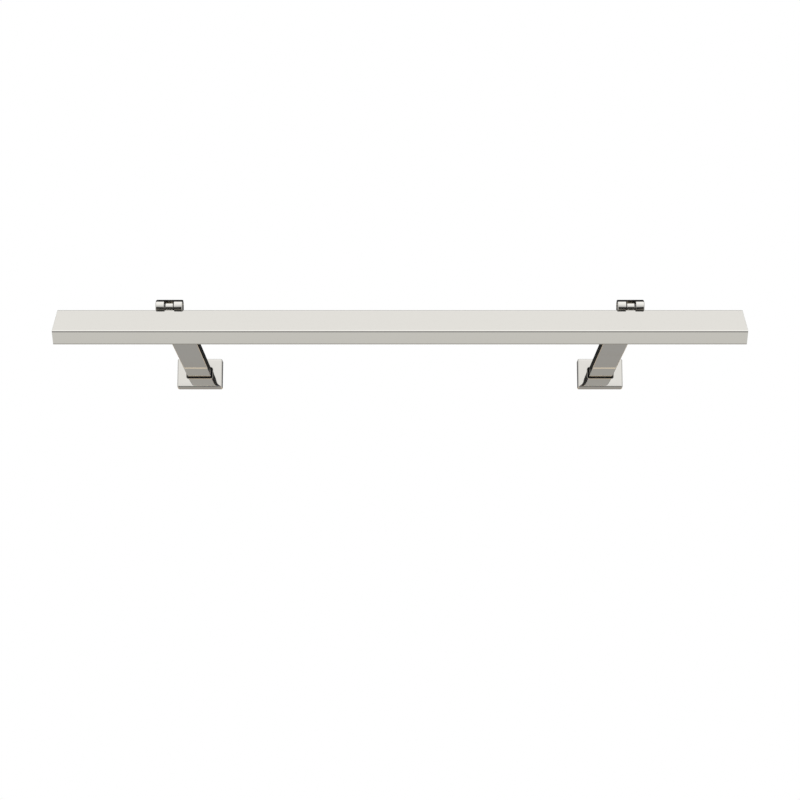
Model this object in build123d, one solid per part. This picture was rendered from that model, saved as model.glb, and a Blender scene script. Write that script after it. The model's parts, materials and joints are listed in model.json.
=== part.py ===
"""Two-arm picture light with a tilting linear LED head.

The row frame: X runs along the head, Y points into the wall, Z is up. The origin is on the wall plane,
midway between the two wall brackets, at the height of the arms. Left is -X, as seen from the room.

The head is drawn level, with its tilt pivot as origin, its broad cover on top and its light opening
underneath. It is then moved to the pivot and tilted down.
"""
from build123d import *
import os
from math import atan2, cos, degrees, hypot, radians, sin

os.makedirs("parts", exist_ok=True)

# ---------------------------------------------------------------- driving dimensions, millimetres
HEAD_LENGTH = 610.0
HEAD_DEPTH = 36.5
HEAD_HEIGHT = 14.5
HEAD_TILT = 45.0
HEAD_EDGE_RADIUS = 1.5

ARM_SPACING = 412.0
ARM_REACH = 285.0
ARM_WIDTH = 24.0
ARM_THICKNESS = 9.0
ARM_WALL = 1.5
ARM_EDGE_RADIUS = 0.8

COVER_WIDTH = 46.0
COVER_HEIGHT = 30.0
COVER_DEPTH = 10.5
COVER_WALL = 2.3
COVER_FRONT_WALL = 2.5
COVER_EDGE_RADIUS = 1.5

KNUCKLE_RADIUS = 7.0
KNUCKLE_CROWN_RADIUS = 13.0
KNUCKLE_CROWN_ANGLE = 75.5
KNUCKLE_CROWN_DROP = 0.3
KNUCKLE_GAP = 0.3
SLOT_WIDTH = 9.0
SLOT_ROOF = 2.1
LUG_WIDTH = 6.8
PIVOT_BELOW_COVER = 1.75

# ---------------------------------------------------------------- fits and small stock sizes
FIT_GAP = 0.1
THREAD_GAP = 0.05
RUNNING_GAP = 0.05
BUSH_SEAT_GAP = 0.03

BRACKET_GAUGE = 2.0
BRACKET_WIDTH = 40.0
BRACKET_TOP = 11.6
BRACKET_FLANGE = 6.5
WALL_SCREW_SPACING = 11.0
WALL_SCREW_HOLE_RADIUS = 2.25

OPENING_GAP = 1.05
OPENING_CORNER = 1.8
OPENING_EDGE_RADIUS = 0.8
ROOT_FLANGE_WIDTH = 38.4
ROOT_FLANGE_HEIGHT = 18.0
ROOT_FLANGE_THICKNESS = 1.8
ROOT_SCREW_X = 16.6
ROOT_SCREW_Z = 6.0
ROOT_SCREW_RADIUS = 1.0
ROOT_SCREW_GRIP = 1.9
ARM_PLUG_LENGTH = 16.0
CLEVIS_PLUG_LENGTH = 14.0
CLEVIS_LENGTH = 30.0
CLEVIS_NECK_WIDTH = 18.0
CLEVIS_NECK_THICKNESS = 7.4
CLEVIS_NECK_EDGE_RADIUS = 0.8
SLOT_FLOOR = 8.4
EAR_EDGE_RADIUS = 0.9
EAR_CREASE_RADIUS = 2.0

PIVOT_BODY_RADIUS = 3.0
PIVOT_RECESS = 0.2
JOURNAL_RADIUS = 2.0
LEAD_SPACE = 1.9
EYE_RADIUS = 4.2
EYE_EDGE_RADIUS = 0.4
BUSH_OUTER_RADIUS = 2.8
BUSH_FLANGE = 0.6
WASHER_THICKNESS = 0.4
WASHER_RADIUS = 3.8

HOUSING_TOP_WALL = 1.6
HOUSING_FRONT_WALL = 1.6
HOUSING_REAR_WALL = 2.4
LIP_THICKNESS = 1.2
LIP_WIDTH = 2.0
CAP_THICKNESS = 3.0

NECK_TOP = -0.45
NECK_BOTTOM = -6.65
NECK_CORNER_RADIUS = 3.0
LUG_FLANGE_WIDTH = 25.0
LUG_FLANGE_THICKNESS = 2.5
LUG_SCREW_OFFSET = 9.0
LUG_SCREW_RADIUS = 1.25
LUG_SCREW_GRIP = 1.85
SWING_MARGIN = 26.0

PAD_THICKNESS = 0.5
SPREADER_THICKNESS = 3.0
SPREADER_WIDTH = 23.0
BOARD_WIDTH = 16.0
BOARD_THICKNESS = 1.6
BOARD_LENGTH = 586.0
CHIP_COUNT = 58
CHIP_PITCH = 10.0
CHIP_LENGTH = 3.5
CHIP_WIDTH = 2.8
CHIP_HEIGHT = 0.7
BOARD_SCREW_COUNT = 6
BOARD_SCREW_PITCH = 110.0
BOARD_SCREW_RADIUS = 1.25
BOARD_SCREW_GRIP = 2.4
DIFFUSER_THICKNESS = 2.0
CAP_SCREW_RADIUS = 1.0
CAP_SCREW_HEAD_RADIUS = 1.9
CAP_SCREW_LENGTH = 9.0
CAP_SCREW_SINK = 0.05
CAP_SCREW_OFFSETS = (6.5, 17.5)

LEAD_RADIUS = 0.8
LEAD_HOLE_RADIUS = 1.2
LEAD_MOUTH_RADIUS = 2.0
LEAD_MOUTH_OFFSET = 0.7
LEAD_BEND = 4.0
LEAD_CAVITY_BEND = 3.2
LEAD_END_GAP = 1.1
LEAD_CAVITY_Y = -4.55
LEAD_INSERTION = 2.1
INLET_OFFSET = 14.4
INLET_HOLE_RADIUS = 3.2
INLET_RADIUS = 2.0
SUPPLY_CONNECTOR_X = (5.5, 13.5)
SUPPLY_CONNECTOR_Y = (-6.1, -3.0)
SUPPLY_CONNECTOR_HALF_HEIGHT = 4.6
SUPPLY_WIRE_SPACING = 4.6
SUPPLY_WIRE_RADIUS = 0.9
CONNECTOR_X = 35.0
CONNECTOR_LENGTH = 9.0
CONNECTOR_HEIGHT = 3.0
CONNECTOR_DEPTH = 4.8
GRUB_X = 15.0
GRUB_Y = -3.5
GRUB_RADIUS = 1.5
GRUB_LENGTH = 3.0

# ---------------------------------------------------------------- derived planes
ARM_X = ARM_SPACING / 2
ARM_START = -(COVER_DEPTH - COVER_FRONT_WALL)
ARM_END = -(ARM_REACH - CLEVIS_LENGTH)
PLUG_WIDTH = ARM_WIDTH - 2 * ARM_WALL - 2 * FIT_GAP
PLUG_THICKNESS = ARM_THICKNESS - 2 * ARM_WALL - 2 * FIT_GAP

REAR = -(KNUCKLE_RADIUS + KNUCKLE_GAP)
FRONT = REAR - HEAD_DEPTH
TOP = PIVOT_BELOW_COVER
BOTTOM = TOP - HEAD_HEIGHT
INNER_REAR = REAR - HOUSING_REAR_WALL
INNER_FRONT = FRONT + HOUSING_FRONT_WALL
INNER_TOP = TOP - HOUSING_TOP_WALL
LIP_TOP = BOTTOM + LIP_THICKNESS
DIFFUSER_BOTTOM = LIP_TOP + FIT_GAP
DIFFUSER_TOP = DIFFUSER_BOTTOM + DIFFUSER_THICKNESS

SPREADER_FRONT = INNER_FRONT + 0.8
SPREADER_REAR = SPREADER_FRONT + SPREADER_WIDTH
SPREADER_TOP = INNER_TOP - PAD_THICKNESS
BOARD_TOP = SPREADER_TOP - SPREADER_THICKNESS
BOARD_FACE = BOARD_TOP - BOARD_THICKNESS
BOARD_FRONT = SPREADER_FRONT + (SPREADER_WIDTH - BOARD_WIDTH) / 2
BOARD_REAR = BOARD_FRONT + BOARD_WIDTH
BOARD_MIDDLE = (BOARD_FRONT + BOARD_REAR) / 2
BOARD_SCREW_Y = BOARD_FRONT + 3.0
CONNECTOR_REAR = BOARD_REAR - 0.4
CONNECTOR_LEAD_Z = BOARD_FACE - CONNECTOR_HEIGHT / 2

NECK_MIDDLE = (NECK_TOP + NECK_BOTTOM) / 2
FLANGE_FACE = INNER_REAR - LUG_FLANGE_THICKNESS
LEAD_TURN_Y = FLANGE_FACE - LEAD_BEND + 0.2
LEAD_SLOPE = NECK_MIDDLE / FLANGE_FACE


# ---------------------------------------------------------------- shape helpers
def block(x_range, y_range, z_range):
    """A box given by its limits on each axis."""
    (x0, x1), (y0, y1), (z0, z1) = sorted(x_range), sorted(y_range), sorted(z_range)
    return Pos((x0 + x1) / 2, (y0 + y1) / 2, (z0 + z1) / 2) * Box(x1 - x0, y1 - y0, z1 - z0)


def both(half):
    """The limits of something centred on zero."""
    return (-half, half)


def rod_x(radius, x_range, y=0.0, z=0.0):
    """A cylinder along X between two X positions."""
    x0, x1 = sorted(x_range)
    return Pos((x0 + x1) / 2, y, z) * Rot(0, 90, 0) * Cylinder(radius, x1 - x0)


def rod_y(radius, y_range, x=0.0, z=0.0):
    """A cylinder along Y between two Y positions."""
    y0, y1 = sorted(y_range)
    return Pos(x, (y0 + y1) / 2, z) * Rot(90, 0, 0) * Cylinder(radius, y1 - y0)


def rod_z(radius, z_range, x=0.0, y=0.0):
    """A cylinder along Z between two Z positions."""
    z0, z1 = sorted(z_range)
    return Pos(x, y, (z0 + z1) / 2) * Cylinder(radius, z1 - z0)


def hex_recess(across_flats, depth):
    """A hexagon socket cutter whose mouth is at z = 0 and which goes down."""
    corner_radius = across_flats / 2 / cos(radians(30))
    return extrude(RegularPolygon(corner_radius, 6), amount=-depth)


def socket_screw(radius, length, head_radius, head_height, across_flats):
    """A low-head socket screw on Z: the head stands on z = 0 and the shank points down."""
    head = Pos(0, 0, head_height / 2) * Cylinder(head_radius, head_height)
    head = chamfer(head.edges().sort_by(Axis.Z)[-1], 0.25)
    shank = Pos(0, 0, -length / 2) * Cylinder(radius, length)
    recess = Pos(0, 0, head_height) * hex_recess(across_flats, head_height * 0.65)
    return head + shank - recess


def countersunk_screw(radius, length, head_radius, across_flats):
    """A countersunk screw on Z: the top of the head is at z = 0 and the shank points down."""
    cone_height = head_radius - radius
    cone = Pos(0, 0, -cone_height / 2) * Cone(radius, head_radius, cone_height)
    shank = Pos(0, 0, -length / 2) * Cylinder(radius, length)
    return cone + shank - hex_recess(across_flats, cone_height * 0.9)


def channel_face(width, height, radius):
    """A rounded rectangle on the plane that faces along the arm, width on X and height on Z."""
    return RectangleRounded(width, height, radius)


def along_arm(section, y_start, y_end):
    """Extrudes a section drawn in X and Z from one Y position towards the room."""
    plane = Plane(origin=(0, y_start, 0), x_dir=(1, 0, 0), z_dir=(0, -1, 0))
    return extrude(plane * section, amount=y_start - y_end)


def lead_tube(points, radii):
    """A lead of constant diameter along straight runs joined by arcs."""
    path = FilletPolyline(*points, radius=radii)
    print("lead runs", len(points) - 1, "radii", radii, "length", round(path.length, 2))
    return sweep((path ^ 0) * Circle(LEAD_RADIUS), path=path)


def at_arms(shape):
    """The same piece at the left arm and at the right arm."""
    return [Pos(-ARM_X, 0, 0) * shape, Pos(ARM_X, 0, 0) * shape]


def tilted(shape):
    """Moves a piece of the level head to its place on the arms."""
    return Pos(0, -ARM_REACH, 0) * Rot(HEAD_TILT, 0, 0) * shape


def save(node, shapes):
    """Writes one node; a group of like pieces stays separate solids in one file."""
    solids = []
    for shape in shapes:
        solids.extend(shape.solids())
    result = solids[0] if len(solids) == 1 else Compound(children=solids)
    result.label = node
    export_step(result, f"parts/{node}.step")


def save_pair(node, left, right):
    """Writes the left and the right piece as two nodes."""
    save(f"{node}_left", [left])
    save(f"{node}_right", [right])


# ---------------------------------------------------------------- wall side
def wall_bracket(with_inlet):
    """A steel channel on the wall; its lower flange carries the cover and its upper one is clamped."""
    low = -(COVER_HEIGHT / 2 - COVER_WALL) + FIT_GAP
    shape = block(both(BRACKET_WIDTH / 2), (-BRACKET_FLANGE, 0), (low, BRACKET_TOP))
    hollow = (low + BRACKET_GAUGE, BRACKET_TOP - BRACKET_GAUGE)
    shape -= block(both(BRACKET_WIDTH), (-BRACKET_FLANGE - 1, -BRACKET_GAUGE), hollow)
    for z in both(WALL_SCREW_SPACING / 2):
        shape -= rod_y(WALL_SCREW_HOLE_RADIUS, (-BRACKET_GAUGE - 1, 1), z=z)
    if with_inlet:
        shape -= rod_y(INLET_HOLE_RADIUS, (-BRACKET_GAUGE - 1, 1), x=INLET_OFFSET)
    return shape


def inlet_grommet():
    """A rubber bush that lines the supply lead's hole, with its flange on the room side."""
    sleeve = rod_y(INLET_HOLE_RADIUS - THREAD_GAP, (-BRACKET_GAUGE - 0.05, 0), x=INLET_OFFSET)
    flange = rod_y(INLET_HOLE_RADIUS + 0.8, (-BRACKET_GAUGE - 0.85, -BRACKET_GAUGE - 0.05), x=INLET_OFFSET)
    return sleeve + flange - rod_y(INLET_RADIUS, (-BRACKET_GAUGE - 2, 1), x=INLET_OFFSET)


def cover_plate():
    """The polished block that hides a bracket: a box open to the wall, with an opening round the arm."""
    shape = block(both(COVER_WIDTH / 2), (-COVER_DEPTH, 0), both(COVER_HEIGHT / 2))
    shape = fillet(shape.edges().filter_by(Axis.Y), COVER_EDGE_RADIUS)
    shape = fillet(shape.faces().sort_by(Axis.Y)[0].edges(), COVER_EDGE_RADIUS * 0.8)
    cavity_x = both(COVER_WIDTH / 2 - COVER_WALL)
    cavity_z = both(COVER_HEIGHT / 2 - COVER_WALL)
    shape -= block(cavity_x, (ARM_START, 1), cavity_z)
    opening = channel_face(ARM_WIDTH + 2 * OPENING_GAP, ARM_THICKNESS + 2 * OPENING_GAP, OPENING_CORNER)
    shape -= along_arm(opening, 0, -COVER_DEPTH - 1)
    front = shape.faces().sort_by(Axis.Y)[0]
    shape = fillet(front.inner_wires()[0].edges(), OPENING_EDGE_RADIUS)
    for x, z in root_screw_places():
        shape -= rod_y(ROOT_SCREW_RADIUS + THREAD_GAP, (ARM_START - ROOT_SCREW_GRIP - FIT_GAP, 0), x=x, z=z)
    for x in both(GRUB_X):
        shape -= rod_z(GRUB_RADIUS + THREAD_GAP, (0, COVER_HEIGHT), x=x, y=GRUB_Y)
    return shape


def cover_grub_screws():
    """Two cup-point grub screws in the top of a cover, pressing on the bracket's upper flange."""
    low = BRACKET_TOP + THREAD_GAP
    top = low + GRUB_LENGTH
    screws = []
    for x in both(GRUB_X):
        body = rod_z(GRUB_RADIUS, (low, top), x=x, y=GRUB_Y)
        body -= Pos(x, GRUB_Y, top) * hex_recess(1.5, 1.6)
        screws.append(body)
    return screws


def root_screw_places():
    """Where the four screws of a root flange stand, about the arm's axis."""
    return [(x, z) for x in both(ROOT_SCREW_X) for z in both(ROOT_SCREW_Z)]


def root_screws():
    """Four screws from inside a cover plate that hold the root's flange to its front wall."""
    screw = Rot(-90, 0, 0) * socket_screw(
        radius=ROOT_SCREW_RADIUS, length=ROOT_FLANGE_THICKNESS + ROOT_SCREW_GRIP,
        head_radius=1.8, head_height=1.1, across_flats=1.3)
    return [Pos(x, ARM_START + ROOT_FLANGE_THICKNESS, z) * screw for x, z in root_screw_places()]


def supply_connector():
    """A two-way push-in connector beside the lead inlet, inside the left cover."""
    left, right = SUPPLY_CONNECTOR_X
    body = block(SUPPLY_CONNECTOR_X, SUPPLY_CONNECTOR_Y, both(SUPPLY_CONNECTOR_HALF_HEIGHT))
    body = chamfer(body.edges().filter_by(Axis.X), 0.4)
    for z in both(SUPPLY_WIRE_SPACING / 2):
        body -= rod_x(SUPPLY_WIRE_RADIUS, (right - 3.0, right + 1), y=LEAD_CAVITY_Y, z=z)
    return body - rod_x(LEAD_RADIUS + THREAD_GAP, (left - 1, left + LEAD_INSERTION + 0.2), y=LEAD_CAVITY_Y)


# ---------------------------------------------------------------- arms
def arm_root():
    """The foot of an arm: a flange behind the cover's front wall and a plug that fills the tube's end."""
    flange_back = ARM_START + ROOT_FLANGE_THICKNESS
    flange = along_arm(channel_face(ROOT_FLANGE_WIDTH, ROOT_FLANGE_HEIGHT, 1.0), flange_back, ARM_START)
    plug = along_arm(Rectangle(PLUG_WIDTH, PLUG_THICKNESS), ARM_START, ARM_START - ARM_PLUG_LENGTH)
    shape = flange + plug
    for x, z in root_screw_places():
        shape -= rod_y(ROOT_SCREW_RADIUS + 0.2, (ARM_START - 1, 0), x=x, z=z)
    shape -= rod_y(LEAD_MOUTH_RADIUS, (ARM_START - 1, 0), x=LEAD_MOUTH_OFFSET)
    return shape - rod_y(LEAD_HOLE_RADIUS, (-ARM_REACH, 0))


def arm_tube():
    """The flat rectangular tube between the root's flange and the clevis."""
    outside = channel_face(ARM_WIDTH, ARM_THICKNESS, ARM_EDGE_RADIUS)
    inside = Rectangle(ARM_WIDTH - 2 * ARM_WALL, ARM_THICKNESS - 2 * ARM_WALL)
    return along_arm(outside - inside, ARM_START, ARM_END)


def ears():
    """The round end of an arm before it is slotted; its upper front is flattened to a shallow crown."""
    crown_angle = radians(KNUCKLE_CROWN_ANGLE)
    crown_y = -ARM_REACH + KNUCKLE_CROWN_RADIUS * cos(crown_angle)
    crown_z = KNUCKLE_RADIUS - KNUCKLE_CROWN_DROP - KNUCKLE_CROWN_RADIUS * sin(crown_angle)
    shape = rod_x(KNUCKLE_RADIUS, both(ARM_WIDTH / 2), y=-ARM_REACH)
    shape &= rod_x(KNUCKLE_CROWN_RADIUS, both(ARM_WIDTH), y=crown_y, z=crown_z)
    creases = shape.edges().filter_by(Axis.X).filter_by_position(Axis.Z, 0, KNUCKLE_RADIUS + 1)
    shape = fillet(creases, EAR_CREASE_RADIUS)
    rims = shape.faces().filter_by(Axis.X).edges()
    return fillet(rims, EAR_EDGE_RADIUS)


def clevis():
    """The front end of an arm: a plug in the tube, a slim neck and two ears with a roofed slot between."""
    plug = along_arm(Rectangle(PLUG_WIDTH, PLUG_THICKNESS), ARM_END + CLEVIS_PLUG_LENGTH, ARM_END)
    neck_section = channel_face(CLEVIS_NECK_WIDTH, CLEVIS_NECK_THICKNESS, CLEVIS_NECK_EDGE_RADIUS)
    neck = along_arm(neck_section, ARM_END, -ARM_REACH)
    shape = plug + neck + ears()
    slot_start = -ARM_REACH + SLOT_FLOOR
    slot_end = -ARM_REACH - KNUCKLE_RADIUS - 1
    slot_height = (-KNUCKLE_RADIUS - 1, KNUCKLE_RADIUS - SLOT_ROOF)
    shape -= block(both(SLOT_WIDTH / 2), (slot_start, slot_end), slot_height)
    shape -= rod_x(PIVOT_BODY_RADIUS + THREAD_GAP, both(ARM_WIDTH), y=-ARM_REACH)
    return shape - rod_y(LEAD_HOLE_RADIUS, (-ARM_REACH, 0))


def pivot_screws():
    """Two stub screws, one in each ear, whose smooth journals carry the lug and leave its middle free."""
    outer = ARM_WIDTH / 2 - PIVOT_RECESS
    screws = []
    for side in (-1, 1):
        body = rod_x(PIVOT_BODY_RADIUS, (side * outer, side * SLOT_WIDTH / 2), y=-ARM_REACH)
        journal = rod_x(JOURNAL_RADIUS, (side * SLOT_WIDTH / 2, side * LEAD_SPACE), y=-ARM_REACH)
        recess = Pos(side * outer, -ARM_REACH, 0) * Rot(0, side * 90, 0) * hex_recess(3.0, 3.5)
        screws.append(body + journal - recess)
    return screws


def spring_washers():
    """A washer on each journal, between the ear and the flange of the bush."""
    inner_face = LUG_WIDTH / 2 + BUSH_FLANGE + 0.05
    washers = []
    for side in (-1, 1):
        span = (side * inner_face, side * (inner_face + WASHER_THICKNESS))
        ring = rod_x(WASHER_RADIUS, span, y=-ARM_REACH)
        washers.append(ring - rod_x(JOURNAL_RADIUS + 0.1, span, y=-ARM_REACH))
    return washers


# ---------------------------------------------------------------- head, drawn level about its pivot
def sector(radius, angle_from, angle_to, half_width):
    """A fan about X with its tip on the pivot; angles from +Y towards +Z, in degrees."""
    steps = 4
    rim = []
    for i in range(steps + 1):
        angle = radians(angle_from + (angle_to - angle_from) * i / steps)
        rim.append((radius * cos(angle), radius * sin(angle)))
    outline = make_face(Polyline((0, 0), *rim, close=True))
    return extrude(Plane.YZ * outline, amount=half_width, both=True)


def pivot_lug():
    """The head's tongue: a round eye between the ears, a neck through the housing and an inner flange."""
    eye = rod_x(EYE_RADIUS, both(LUG_WIDTH / 2))
    eye = fillet(eye.edges().filter_by(GeomType.CIRCLE), EYE_EDGE_RADIUS)
    neck = block(both(LUG_WIDTH / 2), (INNER_REAR - 0.05, 0), (NECK_BOTTOM, NECK_TOP))
    lower_rear = neck.edges().filter_by(Axis.X).group_by(Axis.Y)[-1].sort_by(Axis.Z)[0]
    neck = fillet(lower_rear, NECK_CORNER_RADIUS)
    flange = block(
        both(LUG_FLANGE_WIDTH / 2), (FLANGE_FACE, INNER_REAR - 0.05),
        (DIFFUSER_TOP + 0.4, INNER_TOP - 0.4))
    shape = eye + neck + flange
    for side in (-1, 1):
        seat = (side * LUG_WIDTH, side * LEAD_SPACE)
        shape -= rod_x(BUSH_OUTER_RADIUS + BUSH_SEAT_GAP, seat)
        hole_x = side * LUG_SCREW_OFFSET
        shape -= rod_y(LUG_SCREW_RADIUS + 0.15, (FLANGE_FACE - 1, INNER_REAR + 1), x=hole_x, z=NECK_MIDDLE)
    shape -= rod_x(JOURNAL_RADIUS + 0.2, both(LEAD_SPACE + 0.1))
    swing = (SWING_MARGIN, -2 * HEAD_TILT - SWING_MARGIN)
    shape -= sector(EYE_RADIUS + 5, *swing, LEAD_HOLE_RADIUS)
    channel_angle = degrees(atan2(NECK_MIDDLE, FLANGE_FACE))
    reach = hypot(NECK_MIDDLE, FLANGE_FACE) + 1
    channel = Rot(channel_angle, 0, 0) * rod_y(LEAD_HOLE_RADIUS, (0, reach))
    return shape - channel


def lug_bushes():
    """Two flanged bushes in a lug's eye; they turn on the journals."""
    bushes = []
    for side in (-1, 1):
        face = LUG_WIDTH / 2
        sleeve = rod_x(BUSH_OUTER_RADIUS, (side * LEAD_SPACE, side * face))
        flange = rod_x(WASHER_RADIUS, (side * face, side * (face + BUSH_FLANGE)))
        bore = rod_x(JOURNAL_RADIUS + RUNNING_GAP, (side * (LEAD_SPACE - 1), side * (face + 2)))
        bushes.append(sleeve + flange - bore)
    return bushes


def lug_screws():
    """Two screws that hold a lug's flange to the housing's back wall, from inside."""
    screw = Rot(90, 0, 0) * socket_screw(
        radius=LUG_SCREW_RADIUS, length=LUG_FLANGE_THICKNESS + LUG_SCREW_GRIP,
        head_radius=2.2, head_height=1.6, across_flats=1.5)
    return [Pos(x, FLANGE_FACE, NECK_MIDDLE) * screw for x in both(LUG_SCREW_OFFSET)]


def head_housing():
    """The long channel: a broad cover, a front wall, a thicker back wall and two lips below."""
    middle = ((REAR + FRONT) / 2, (TOP + BOTTOM) / 2)
    section = Pos(*middle) * RectangleRounded(HEAD_DEPTH, HEAD_HEIGHT, HEAD_EDGE_RADIUS)
    inner_middle = ((INNER_REAR + INNER_FRONT) / 2, (INNER_TOP + LIP_TOP) / 2)
    section -= Pos(*inner_middle) * Rectangle(INNER_REAR - INNER_FRONT, INNER_TOP - LIP_TOP)
    opening_width = INNER_REAR - INNER_FRONT - 2 * LIP_WIDTH
    section -= Pos(inner_middle[0], BOTTOM) * Rectangle(opening_width, 4 * LIP_THICKNESS)
    shape = extrude(Plane.YZ * section, amount=HEAD_LENGTH / 2, both=True)
    for arm_x in both(ARM_X):
        window_x = (arm_x - LUG_WIDTH / 2 - FIT_GAP, arm_x + LUG_WIDTH / 2 + FIT_GAP)
        shape -= block(window_x, (REAR + 1, INNER_REAR), (NECK_BOTTOM - FIT_GAP, NECK_TOP + FIT_GAP))
        for offset in both(LUG_SCREW_OFFSET):
            tapped = (INNER_REAR - 1, INNER_REAR + LUG_SCREW_GRIP + FIT_GAP)
            shape -= rod_y(LUG_SCREW_RADIUS + THREAD_GAP, tapped, x=arm_x + offset, z=NECK_MIDDLE)
    return shape


def end_cap():
    """The plug in the right-hand end of the channel, flush with its end and with its opening."""
    x_range = (HEAD_LENGTH / 2 - CAP_THICKNESS, HEAD_LENGTH / 2)
    upper_y = (INNER_FRONT + FIT_GAP, INNER_REAR - FIT_GAP)
    upper = block(x_range, upper_y, (LIP_TOP + FIT_GAP, INNER_TOP - FIT_GAP))
    lower_y = (INNER_FRONT + LIP_WIDTH + FIT_GAP, INNER_REAR - LIP_WIDTH - FIT_GAP)
    lower = block(x_range, lower_y, (BOTTOM, LIP_TOP + FIT_GAP))
    shape = upper + lower
    for screw in end_cap_screw_cutters():
        shape -= screw
    return shape


def end_cap_screw_places():
    """Where the two cap screws stand on the right-hand end, in line with the spreader's thickness."""
    z = SPREADER_TOP - SPREADER_THICKNESS / 2
    return [(HEAD_LENGTH / 2, SPREADER_FRONT + offset, z) for offset in CAP_SCREW_OFFSETS]


def end_cap_screws():
    """Two countersunk screws through a cap into the end of the heat spreader."""
    screw = Rot(0, 90, 0) * countersunk_screw(
        radius=CAP_SCREW_RADIUS, length=CAP_SCREW_LENGTH, head_radius=CAP_SCREW_HEAD_RADIUS,
        across_flats=1.3)
    return [Pos(*place) * Pos(-CAP_SCREW_SINK, 0, 0) * screw for place in end_cap_screw_places()]


def end_cap_screw_cutters():
    """The holes for the cap screws: a countersink and a clearance hole."""
    cone_height = CAP_SCREW_HEAD_RADIUS + CAP_SCREW_SINK - CAP_SCREW_RADIUS
    mouth = CAP_SCREW_HEAD_RADIUS + FIT_GAP
    cone = Pos(0, 0, -cone_height / 2) * Cone(CAP_SCREW_RADIUS + THREAD_GAP, mouth, cone_height)
    hole = rod_z(CAP_SCREW_RADIUS + THREAD_GAP, (-CAP_SCREW_LENGTH - 3, 0))
    cutter = Rot(0, 90, 0) * (cone + hole)
    return [Pos(*place) * cutter for place in end_cap_screw_places()]


def mirrored(shape):
    """The left-hand copy of a right-hand piece."""
    return mirror(shape, about=Plane.YZ)


def heat_spreader():
    """An aluminium bar under the cover that takes the board's heat."""
    half = HEAD_LENGTH / 2 - CAP_THICKNESS - FIT_GAP
    bar = block(both(half), (SPREADER_FRONT, SPREADER_REAR), (BOARD_TOP, SPREADER_TOP))
    tapped = (BOARD_TOP - 1, BOARD_TOP + BOARD_SCREW_GRIP + 2 * FIT_GAP)
    for x in board_screw_places():
        bar -= rod_z(BOARD_SCREW_RADIUS + THREAD_GAP, tapped, x=x, y=BOARD_SCREW_Y)
    for cutter in end_cap_screw_cutters():
        bar -= cutter
        bar -= mirrored(cutter)
    return bar


def thermal_tape():
    """The adhesive tape between the spreader and the inside of the cover."""
    half = HEAD_LENGTH / 2 - CAP_THICKNESS - 2.0
    return block(both(half), (SPREADER_FRONT + 0.5, SPREADER_REAR - 0.5), (SPREADER_TOP, INNER_TOP))


def board_screw_places():
    """X positions of the screws along the board."""
    first = -BOARD_SCREW_PITCH * (BOARD_SCREW_COUNT - 1) / 2
    return [first + BOARD_SCREW_PITCH * i for i in range(BOARD_SCREW_COUNT)]


def led_board():
    """The aluminium-core board, drilled for its screws."""
    board = block(both(BOARD_LENGTH / 2), (BOARD_FRONT, BOARD_REAR), (BOARD_FACE, BOARD_TOP))
    for x in board_screw_places():
        board -= rod_z(BOARD_SCREW_RADIUS + 0.15, (BOARD_FACE - 1, BOARD_TOP + 1), x=x, y=BOARD_SCREW_Y)
    return board


def led_chips():
    """One row of chips along the middle of the board."""
    first = -CHIP_PITCH * (CHIP_COUNT - 1) / 2
    y_range = (BOARD_MIDDLE - CHIP_WIDTH / 2, BOARD_MIDDLE + CHIP_WIDTH / 2)
    z_range = (BOARD_FACE - CHIP_HEIGHT, BOARD_FACE)
    chips = []
    for i in range(CHIP_COUNT):
        x = first + CHIP_PITCH * i
        chips.append(block((x - CHIP_LENGTH / 2, x + CHIP_LENGTH / 2), y_range, z_range))
    return chips


def board_screws():
    """The screws that hold the board to the spreader."""
    screw = Rot(180, 0, 0) * socket_screw(
        radius=BOARD_SCREW_RADIUS, length=BOARD_THICKNESS + BOARD_SCREW_GRIP,
        head_radius=2.1, head_height=1.4, across_flats=1.5)
    return [Pos(x, BOARD_SCREW_Y, BOARD_FACE) * screw for x in board_screw_places()]


def diffuser():
    """The opal strip that lies on the lips and closes the light opening."""
    half = HEAD_LENGTH / 2 - CAP_THICKNESS - FIT_GAP
    y_range = (INNER_FRONT + FIT_GAP, INNER_REAR - FIT_GAP)
    return block(both(half), y_range, (DIFFUSER_BOTTOM, DIFFUSER_TOP))


def board_connector():
    """The small wire-to-board connector behind the row of chips, near the left lug."""
    x_middle = -ARM_X + CONNECTOR_X
    x_range = (x_middle - CONNECTOR_LENGTH / 2, x_middle + CONNECTOR_LENGTH / 2)
    y_range = (CONNECTOR_REAR - CONNECTOR_DEPTH, CONNECTOR_REAR)
    body = block(x_range, y_range, (BOARD_FACE - CONNECTOR_HEIGHT, BOARD_FACE))
    body = chamfer(body.edges().filter_by(Axis.Z), 0.3)
    entry = (CONNECTOR_REAR - 1.6, CONNECTOR_REAR + 1)
    return body - rod_y(LEAD_RADIUS + THREAD_GAP, entry, x=x_middle, z=CONNECTOR_LEAD_Z)


# ---------------------------------------------------------------- leads
def arm_lead():
    """The low-voltage lead from the supply connector through the left arm to the tilt pivot."""
    points = [
        (SUPPLY_CONNECTOR_X[0] + LEAD_INSERTION, LEAD_CAVITY_Y, 0),
        (0, LEAD_CAVITY_Y, 0),
        (0, -ARM_REACH + LEAD_END_GAP, 0),
    ]
    return Pos(-ARM_X, 0, 0) * lead_tube(points, [LEAD_CAVITY_BEND])


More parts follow.
